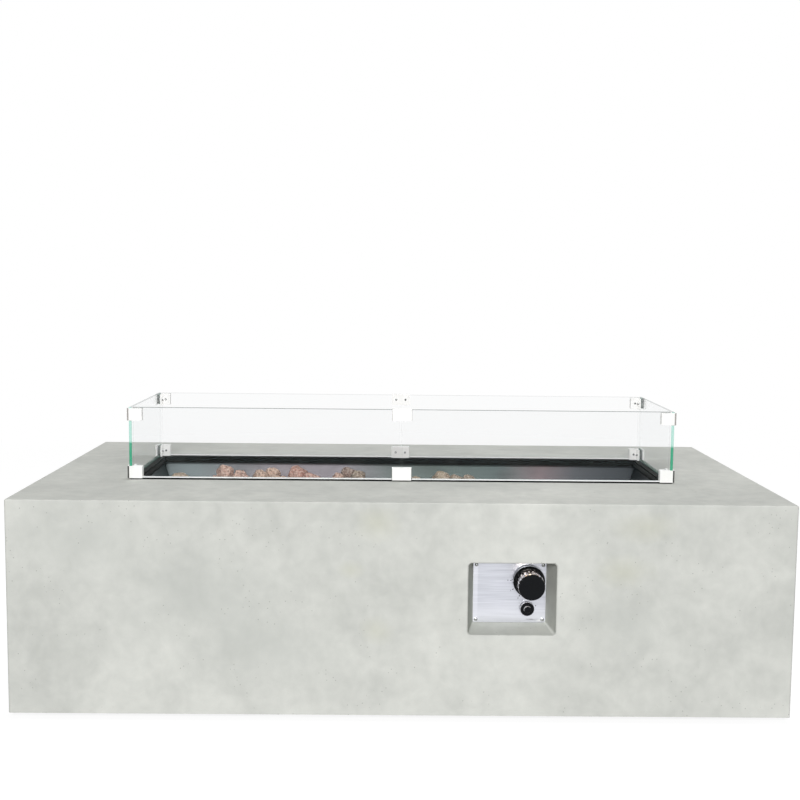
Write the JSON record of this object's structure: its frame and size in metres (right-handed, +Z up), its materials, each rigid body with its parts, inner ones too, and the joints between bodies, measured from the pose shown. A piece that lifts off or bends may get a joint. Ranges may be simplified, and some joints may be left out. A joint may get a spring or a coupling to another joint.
{
  "type": "fire pit table",
  "caption": "Low rectangular cast-stone gas fire table with a clear glass wind guard, lava rock, recessed knob and push igniter, and levelling feet.",
  "frame": {"origin": "on the floor under the middle of the table", "axes": "+Z up, +X along the long side to the control end, front face towards -Y"},
  "size_m": [1.524, 0.816, 0.587],
  "materials": {
    "concrete": "matt, mottled",
    "zinc_steel": "zinc plated",
    "bright_steel": "bright",
    "black_rubber": "matt",
    "brushed_plate": "brushed",
    "cast_alloy": "die cast",
    "chrome": "polished",
    "polished_steel": "polished",
    "gloss_black": "glossy",
    "matt_black": "matt",
    "battery_can": "printed wrap left plain",
    "rim_black": "satin, heat resistant",
    "pan_steel": "rolled",
    "brass": "turned",
    "white_ceramic": "glazed",
    "copper": "drawn copper",
    "clear_glass": "clear, polished edges",
    "clear_pad": "clear soft plastic",
    "lava_rock": "porous"
  },
  "bodies": {
    "table": {"air_mixer": "brass", "burner_brackets": "pan_steel", "burner_locknut": "pan_steel", "burner_tube": "pan_steel", "concrete_body": "concrete", "control_plate": "brushed_plate", "fire_pan": "pan_steel", "flame_sensor": "copper", "foot_inserts": "zinc_steel", "gas_hose": "black_rubber", "gas_valve": "cast_alloy", "hose_grommet": "black_rubber", "hose_nuts": "brass", "igniter_barrel": "matt_black", "igniter_battery": "battery_can", "igniter_nut": "matt_black", "inlet_fitting": "brass", "lava_rocks": "lava_rock", "orifice_fitting": "brass", "pan_screws": "bright_steel", "plate_anchors": "brass", "plate_screws": "bright_steel", "rim_frame": "rim_black", "sensor_bracket": "pan_steel", "sensor_lead": "copper", "spark_electrode": "white_ceramic", "spark_lead": "matt_black", "valve_nut": "bright_steel"},
    "wind_guard": {"corner_clips_high": "polished_steel", "corner_clips_low": "polished_steel", "glass_back_left": "clear_glass", "glass_back_right": "clear_glass", "glass_end_left": "clear_glass", "glass_end_right": "clear_glass", "glass_front_left": "clear_glass", "glass_front_right": "clear_glass", "mid_clips_high": "polished_steel", "mid_clips_low": "polished_steel", "clip_screws": "bright_steel", "clip_pads": "clear_pad"},
    "valve_push": {"stem_washer": "bright_steel"},
    "knob": {"valve_stem": "bright_steel", "control_knob": "chrome", "knob_skirt": "gloss_black", "knob_cap": "gloss_black"},
    "igniter_cap_body": {"igniter_cap": "gloss_black"},
    "igniter_button_body": {"igniter_button": "gloss_black"},
    "foot_front_left": {"foot_stud_front_left": "bright_steel", "foot_pad_front_left": "black_rubber"},
    "foot_front_right": {"foot_stud_front_right": "bright_steel", "foot_pad_front_right": "black_rubber"},
    "foot_back_left": {"foot_stud_back_left": "bright_steel", "foot_pad_back_left": "black_rubber"},
    "foot_back_right": {"foot_stud_back_right": "bright_steel", "foot_pad_back_right": "black_rubber"}
  },
  "joints": [
    {"name": "guard_lift", "type": "slide", "parent": "table", "child": "wind_guard", "axis": [0, 0, 1], "range_m": [0, 0.2]},
    {"name": "knob_push", "type": "slide", "parent": "table", "child": "valve_push", "axis": [0, 1, 0], "range_m": [0, 0.004], "stiffness_N_per_m": 900},
    {"name": "knob_turn", "type": "hinge", "parent": "valve_push", "child": "knob", "pos_m": [0.2512, -0.38, 0.2678], "axis": [0, -1, 0], "range_deg": [0, 180]},
    {"name": "igniter_cap_off", "type": "slide", "parent": "table", "child": "igniter_cap_body", "axis": [0, -1, 0], "range_m": [0, 0.03]},
    {"name": "igniter_press", "type": "slide", "parent": "igniter_cap_body", "child": "igniter_button_body", "axis": [0, 1, 0], "range_m": [0, 0.0025], "stiffness_N_per_m": 500},
    {"name": "foot_level_front_left", "type": "slide", "parent": "table", "child": "foot_front_left", "axis": [0, 0, -1], "range_m": [0, 0.012]},
    {"name": "foot_level_front_right", "type": "slide", "parent": "table", "child": "foot_front_right", "axis": [0, 0, -1], "range_m": [0, 0.012]},
    {"name": "foot_level_back_left", "type": "slide", "parent": "table", "child": "foot_back_left", "axis": [0, 0, -1], "range_m": [0, 0.012]},
    {"name": "foot_level_back_right", "type": "slide", "parent": "table", "child": "foot_back_right", "axis": [0, 0, -1], "range_m": [0, 0.012]}
  ]
}
